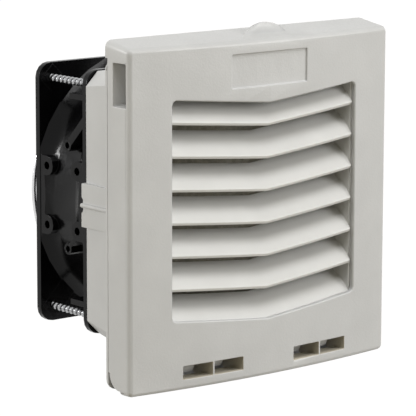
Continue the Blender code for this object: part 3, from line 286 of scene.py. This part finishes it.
def bright_steel():
    """Guard wires and bright parts of the motor."""
    return surface("bright_steel_look", (0.62, 0.62, 0.63), 0.24, 1.0, vary=0.08, grain=1200.0, bump=0.05)


def zinc_plating():
    """Screws and terminals."""
    return surface("zinc_look", (0.37, 0.375, 0.38), 0.26, 1.0, vary=0.15, patch=240.0, grain=1500.0,
                   bump=0.08)


def painted_valley_shade():
    """Painted shade in the bottom of the screw thread."""
    return surface("painted_valley_shade_look", (0.07, 0.07, 0.075), 0.5, 0.6, vary=0.2, patch=240.0, bump=0.05)


def copper_wire():
    """Enamelled windings."""
    return surface("copper_look", (0.70, 0.30, 0.13), 0.35, 0.9, vary=0.12, patch=900.0, grain=2500.0,
                   bump=0.4)


def laminations():
    """Steel sheets, stacked along the fan axis."""
    return surface("laminations_look", (0.33, 0.34, 0.36), 0.45, 0.9, vary=0.2, patch=40.0, grain=1000.0,
                   bump=0.3, stretch=(1.0, 8.0, 1.0))


def paint(made, *names):
    """Gives CAD nodes their surface."""
    for name in names:
        for place in nodes[name].material_slots:
            place.material = made


# Meshes

def add_piece(name, bm, surfaces, body, stands_for, smooth):
    """A mesh that rides on a body and stands for CAD nodes."""
    mesh = bpy.data.meshes.new(name)
    bm.to_mesh(mesh)
    bm.free()
    mesh.shade_smooth()
    mesh.set_sharp_from_angle(angle=smooth)
    for made in surfaces:
        mesh.materials.append(made)
    piece = bpy.data.objects.new(name, mesh)
    bpy.context.scene.collection.objects.link(piece)
    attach(piece, body)
    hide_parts(*stands_for)
    return piece


def circle(steps):
    """Angles of evenly spaced points on a full turn."""
    return [2 * pi * i / steps for i in range(steps)]


def ring_of(bm, points):
    """Vertices at the points."""
    return [bm.verts.new(p) for p in points]


def bridge(bm, first, second):
    """Joins two rings of the same count, and returns the band of faces."""
    band = []
    for i in range(len(first)):
        j = (i + 1) % len(first)
        band.append(bm.faces.new((first[i], first[j], second[j], second[i])))
    return band


def wire(bm, points, closed):
    """Round wire along points."""
    points = [Vector(p) for p in points]
    count = len(points)
    rings = []
    for i, point in enumerate(points):
        before = points[i - 1] if closed or i > 0 else point
        after = points[(i + 1) % count] if closed or i < count - 1 else point
        along = (after - before).normalized()
        across = along.cross(ASKEW).normalized()
        third = across.cross(along)
        rings.append(ring_of(bm, [point + WIRE_RADIUS * (cos(a) * across + sin(a) * third)
                                  for a in circle(WIRE_SIDES)]))
    for i in range(count if closed else count - 1):
        bridge(bm, rings[i], rings[(i + 1) % count])
    if not closed:
        bm.faces.new(rings[0])
        bm.faces.new(rings[-1])


def block(bm, low, high, turn=Matrix()):
    """Plain block between two corners in millimetres; returns its faces."""
    size = (Vector(high) - Vector(low)) * MM
    middle = (Vector(high) + Vector(low)) / 2 * MM
    place = turn @ Matrix.Translation(middle) @ Matrix.Diagonal((*size, 1.0))
    corners = bmesh.ops.create_cube(bm, size=1.0, matrix=place)["verts"]
    return {face for vert in corners for face in vert.link_faces}


# Rounded edges

def in_boxes(verts, boxes):
    """True where all the vertices lie in one of the boxes, which are in millimetres."""
    return any(all(low[i] < vert.co[i] / MM < high[i] for vert in verts for i in range(3))
               for low, high in boxes)


def mark_edges(bm, crisp, soft):
    """Marks the sharp edges: full weight in the soft boxes, none in the crisp ones, plain elsewhere."""
    mark = bm.edges.layers.float.new("bevel_weight_edge")
    bm.normal_update()
    for edge in bm.edges:
        if len(edge.link_faces) == 2 and edge.calc_face_angle() > EDGE_ANGLE:
            if not in_boxes(edge.verts, crisp):
                edge[mark] = 1.0 if in_boxes(edge.verts, soft) else PLAIN_WEIGHT


def settle(piece, solid, reach, box):
    """Applies the rounding, and puts back on the solid each corner that it threw off."""
    seen = piece.evaluated_get(bpy.context.evaluated_depsgraph_get())
    rounded = bpy.data.meshes.new_from_object(seen)
    low, high = box
    for vert in rounded.vertices:
        nearest, _, _, distance = solid.find_nearest(vert.co)
        place = nearest if distance > reach else vert.co
        vert.co = [min(max(place[i], low[i]), high[i]) for i in range(3)]
    piece.modifiers.clear()
    sharp = piece.data
    piece.data = rounded
    bpy.data.meshes.remove(sharp)


def soften(name, node, surfaces, body, width, more=None, crisp=(), soft=()):
    """The CAD node's shape with its sharp edges rounded as moulding or casting rounds them."""
    bm = bmesh.new()
    bm.from_mesh(nodes[node].data)
    if more:
        more(bm)
    bmesh.ops.remove_doubles(bm, verts=bm.verts, dist=WELD_DISTANCE)
    mark_edges(bm, crisp, soft)
    solid = BVHTree.FromBMesh(bm)
    piece = add_piece(name, bm, surfaces, body, (node,), SOLID_SMOOTHING)
    bevel = piece.modifiers.new("edges", "BEVEL")
    bevel.width = width / PLAIN_WEIGHT
    bevel.segments = 2
    bevel.limit_method = "WEIGHT"
    bevel.use_clamp_overlap = False
    bevel.miter_outer = "MITER_ARC"
    settle(piece, solid, width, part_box(node))
    flatten = piece.modifiers.new("flat_faces", "WEIGHTED_NORMAL")
    flatten.keep_sharp = True


# Pieces

def slot_detail(bm):
    """Painted shade on the faces inside the slots, and an inner sill along the lower edge of each, which
    takes the same painted shade.
    """
    for face in bm.faces:
        # Faces that look forwards or down are the cover's outside
        inside = face.normal.y > -0.5 and face.normal.z > -0.9
        if inside and in_boxes(face.verts, SLOT_SHADE_INSIDE):
            # These faces take the painted shade
            face.material_index = 1
    low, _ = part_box("cover_frame")
    bottom = low.z / MM
    for side in (-1, 1):
        for start, end, front in SILLS:
            left, right = sorted((side * start, side * end))
            sill = block(bm, (left, front, bottom + SILL_BOTTOM), (right, SILL_REAR, bottom + SILL_TOP))
            # The sills take the painted shade too
            for face in sill:
                face.material_index = 1


def make_cover():
    """Cover shell, crisp where it meets the tab and the flange, and well rounded round the window."""
    soften("cover_shell", "cover_frame", (cover_plastic(), slot_painted_shade()), "cover",
           COVER_ROUNDING, more=slot_detail, crisp=(TAB_FOOT, COVER_SEAM), soft=(WINDOW_RIM,))


def make_louvre():
    """Louvre insert with its blades."""
    soften("louvre", "louvre_grille", (louvre_plastic_with_painted_light(),), "cover", LOUVRE_ROUNDING)


def make_housing(plastic):
    """Plug-in housing, crisp along the seams at its sides."""
    soften("housing", "base_housing", (plastic,), "base", HOUSING_ROUNDING,
           crisp=FLANGE_SEAMS)


def cast_detail(bm):
    """Thin raised strips across the flange corners, and the ribs under the front ones."""
    low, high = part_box("fan_frame")
    front = low.y / MM + FLANGE_THICKNESS
    rear = high.y / MM - FLANGE_THICKNESS
    for angle in CORNER_ANGLES:
        turn = Matrix.Rotation(angle, 4, "Y")
        for face, lean in ((front, 1), (rear, -1)):
            near, far = sorted((face - lean * CAST_ROOT, face + lean * STRIP_HEIGHT))
            block(bm, (STRIP_START, near, -STRIP_HALF_WIDTH), (STRIP_END, far, STRIP_HALF_WIDTH), turn)
    for x in (-1, 1):
        for z in (-1, 1):
            left, right = sorted((x * RIB_START, x * RIB_END))
            bottom, top = sorted((z * RIB_NEAR, z * RIB_FAR))
            block(bm, (left, front - CAST_ROOT, bottom), (right, front + RIB_DEPTH, top))


def make_casting(casting):
    """Fan frame. Wider rounding would draw faces across its barrel."""
    soften("casting", "fan_frame", (casting,), "base", CASTING_ROUNDING, more=cast_detail)


def thread_crest(y, turn):
    """Height of the thread, from 0 in the valley to 1 on the crest."""
    phase = (y / THREAD_PITCH - turn) % 1.0
    return max(0.0, 1 - abs(2 * phase - 1) * CREST_SLOPE)


def screw_ring(bm, axis, y, radii):
    """Ring about the screw's axis, with a radius for each side."""
    x, z = axis
    return ring_of(bm, [(x + r * cos(a), y, z + r * sin(a)) for a, r in zip(circle(SCREW_SIDES), radii)])


def thread_rings(bm, axis, point, seat):
    """Rings of the thread from the point to the head's seat, and their corners in the valley, where shade
    is painted.
    """
    rings = []
    deep = set()
    for k in range(int((seat - point) / THREAD_STEP) + 1):
        y = point + k * THREAD_STEP
        taper = min(1.0, POINT_SHARE + (1 - POINT_SHARE) * (y - point) / POINT_LENGTH)
        crests = [thread_crest(y, i / SCREW_SIDES) for i in range(SCREW_SIDES)]
        deep.update((k, i) for i, crest in enumerate(crests) if crest < VALLEY_LEVEL)
        radii = [(SCREW_RADIUS - THREAD_DEPTH + THREAD_DEPTH * crest) * taper for crest in crests]
        rings.append(screw_ring(bm, axis, y, radii))
    return rings, deep


def make_screw(number, zinc, valley):
    """Screw with a rolled thread and a pan head."""
    node = "fan_screw_%d" % number
    low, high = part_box(node)
    axis = ((low.x + high.x) / 2, (low.z + high.z) / 2)
    seat = high.y - HEAD_HEIGHT
    bm = bmesh.new()
    rings, deep = thread_rings(bm, axis, low.y, seat)
    for rise, wide in HEAD_PROFILE:
        rings.append(screw_ring(bm, axis, seat + rise * HEAD_HEIGHT, [wide * MM] * SCREW_SIDES))
    for k, (first, second) in enumerate(zip(rings, rings[1:])):
        for i, face in enumerate(bridge(bm, first, second)):
            # Three corners in the valley make it a valley face, which takes the painted shade
            if {(k, i), (k, (i + 1) % SCREW_SIDES), (k + 1, i)} <= deep:
                face.material_index = 1
    bm.faces.new(rings[0])
    bm.faces.new(rings[-1])
    bmesh.ops.recalc_face_normals(bm, faces=bm.faces)
    add_piece("screw_%d" % number, bm, (zinc, valley), "base", (node,),
              SCREW_SMOOTHING)


def leg_route(plane, foot):
    """Points of a guard leg: distance from the fan axis in millimetres, and y in metres."""
    under = plane - WIRE_RADIUS
    return ((11.25, under), (57.0, under), (60.0, plane - 1.6 * MM), (62.5, plane - 3.4 * MM),
            (64.5, foot + 1.6 * MM), (66.0, foot + 0.4 * MM), (67.6, foot), (70.8, foot))


def make_guard(steel):
    """Welded wire guard: round rings on four bent legs with eyes."""
    low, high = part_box("finger_guard")
    plane = high.y - WIRE_RADIUS
    foot = low.y + WIRE_RADIUS
    bm = bmesh.new()
    for k in range(GUARD_RINGS):
        size = FIRST_RING + RING_SPACING * k
        wire(bm, [(size * cos(a), plane, size * sin(a)) for a in circle(GUARD_STEPS)], True)
    for angle in CORNER_ANGLES:
        route = leg_route(plane, foot)
        wire(bm, [(r * MM * cos(angle), y, r * MM * sin(angle)) for r, y in route], False)
        x = EYE_PLACE * cos(angle)
        z = EYE_PLACE * sin(angle)
        eye = [(x + EYE_RADIUS * cos(a), foot, z + EYE_RADIUS * sin(a)) for a in circle(EYE_STEPS)]
        wire(bm, eye, True)
    bmesh.ops.recalc_face_normals(bm, faces=bm.faces)
    add_piece("guard_wires", bm, (steel,), "base", ("finger_guard",), WIRE_SMOOTHING)


def dress():
    """Surfaces of the CAD nodes, and the meshes that stand for some of them."""
    plastic = housing_plastic()
    casting = black_casting()
    moulded = black_plastic()
    steel = bright_steel()
    zinc = zinc_plating()
    valley = painted_valley_shade()
    paint(filter_fibre_painted_shade(), "filter_mat")
    paint(plastic, "filter_grid")
    paint(foam_rubber(), "panel_gasket")
    paint(casting, "motor_spider")
    paint(moulded, "impeller", "insulator_front", "insulator_rear", "terminal_block")
    paint(steel, "rotor_cup", "shaft", "retaining_ring", "bearing_front", "bearing_rear", "preload_spring")
    paint(laminations(), "stator_core", "rotor_cage")
    paint(zinc, "terminal_1", "terminal_2", "earth_screw")
    paint(copper_wire(), "coil_1", "coil_2", "coil_3", "coil_4")
    for number in range(1, 5):
        make_screw(number, zinc, valley)
    make_cover()
    make_louvre()
    make_housing(plastic)
    make_casting(casting)
    make_guard(steel)


# Studio

def background_ray(tree_nodes, links):
    """1 for rays that should see the plain white background."""
    path = tree_nodes.new("ShaderNodeLightPath")
    value = path.outputs["Is Camera Ray"]
    for other in ("Is Glossy Ray", "Is Transmission Ray"):
        both = tree_nodes.new("ShaderNodeMath")
        both.operation = "MAXIMUM"
        links.new(value, both.inputs[0])
        links.new(path.outputs[other], both.inputs[1])
        value = both.outputs[0]
    return value


def mix_into(tree_nodes, links, share, first, second, target):
    """Leads a mix of two shaders to a target's surface."""
    mix = tree_nodes.new("ShaderNodeMixShader")
    links.new(share, mix.inputs["Fac"])
    links.new(first.outputs[0], mix.inputs[1])
    links.new(second.outputs[0], mix.inputs[2])
    links.new(mix.outputs[0], target.inputs["Surface"])


def make_world():
    """The dim warm light, and plain white where the background is seen."""
    world = bpy.data.worlds.new("studio")
    world.use_nodes = True
    tree_nodes, links = world.node_tree.nodes, world.node_tree.links
    plain = tree_nodes["Background"]
    plain.inputs["Color"].default_value = AMBIENT_COLOUR
    plain.inputs["Strength"].default_value = AMBIENT
    seen = tree_nodes.new("ShaderNodeBackground")
    seen.inputs["Color"].default_value = (1.0, 1.0, 1.0, 1.0)
    seen.inputs["Strength"].default_value = 1.0
    share = background_ray(tree_nodes, links)
    mix_into(tree_nodes, links, share, plain, seen, tree_nodes["World Output"])
    bpy.context.scene.world = world


def floor_surface():
    """Glows where the background is seen, apart from a share that takes the shadow."""
    made, tree_nodes, links = node_tree("floor_white")
    shader = tree_nodes["Principled BSDF"]
    shader.inputs["Base Color"].default_value = FLOOR_COLOUR
    shader.inputs["Roughness"].default_value = FLOOR_ROUGHNESS
    white = tree_nodes.new("ShaderNodeEmission")
    white.inputs["Strength"].default_value = FLOOR_GLOW
    share = tree_nodes.new("ShaderNodeMath")
    share.operation = "MULTIPLY"
    share.inputs[1].default_value = FLOOR_GLOW_SHARE
    links.new(background_ray(tree_nodes, links), share.inputs[0])
    mix_into(tree_nodes, links, share.outputs[0], shader, white, tree_nodes["Material Output"])
    return made


def make_floor():
    """Wide plain floor just under the part."""
    bm = bmesh.new()
    bmesh.ops.create_grid(bm, x_segments=1, y_segments=1, size=FLOOR_HALF_WIDTH)
    mesh = bpy.data.meshes.new("floor")
    bm.to_mesh(mesh)
    bm.free()
    mesh.materials.append(floor_surface())
    floor = bpy.data.objects.new("floor", mesh)
    floor.location.z = cad_bounds[0][2] - FLOOR_GAP
    bpy.context.scene.collection.objects.link(floor)


def make_lamp(name, place, size, power):
    """Round lamp that faces the origin."""
    lamp = bpy.data.lights.new(name, "AREA")
    lamp.shape = "DISK"
    lamp.size = size
    lamp.energy = power
    made = bpy.data.objects.new(name, lamp)
    made.location = place
    made.rotation_euler = (-Vector(place)).to_track_quat("-Z", "Y").to_euler()
    bpy.context.scene.collection.objects.link(made)


def make_camera():
    """Camera where the fit to the photograph puts it."""
    back = Vector((sin(YAW) * cos(ELEVATION), -cos(YAW) * cos(ELEVATION), sin(ELEVATION)))
    right = Vector((0.0, 0.0, 1.0)).cross(back).normalized()
    up = back.cross(right)
    turned_right = cos(ROLL) * right + sin(ROLL) * up
    turned_up = cos(ROLL) * up - sin(ROLL) * right
    lens = bpy.data.cameras.new("camera")
    lens.sensor_width = SENSOR_WIDTH
    lens.lens = LENS
    lens.clip_start = CLIP_NEAR
    lens.clip_end = CLIP_FAR
    camera = bpy.data.objects.new("camera", lens)
    turn = Matrix((turned_right, turned_up, back)).transposed().to_4x4()
    camera.matrix_world = Matrix.Translation(TARGET + DISTANCE * back) @ turn
    bpy.context.scene.collection.objects.link(camera)
    bpy.context.scene.camera = camera


def main():
    """Dresses the part and sets up the studio."""
    bpy.context.scene.view_settings.view_transform = "Standard"
    make_camera()
    dress()
    make_world()
    make_floor()
    for lamp in LAMPS:
        make_lamp(*lamp)


main()
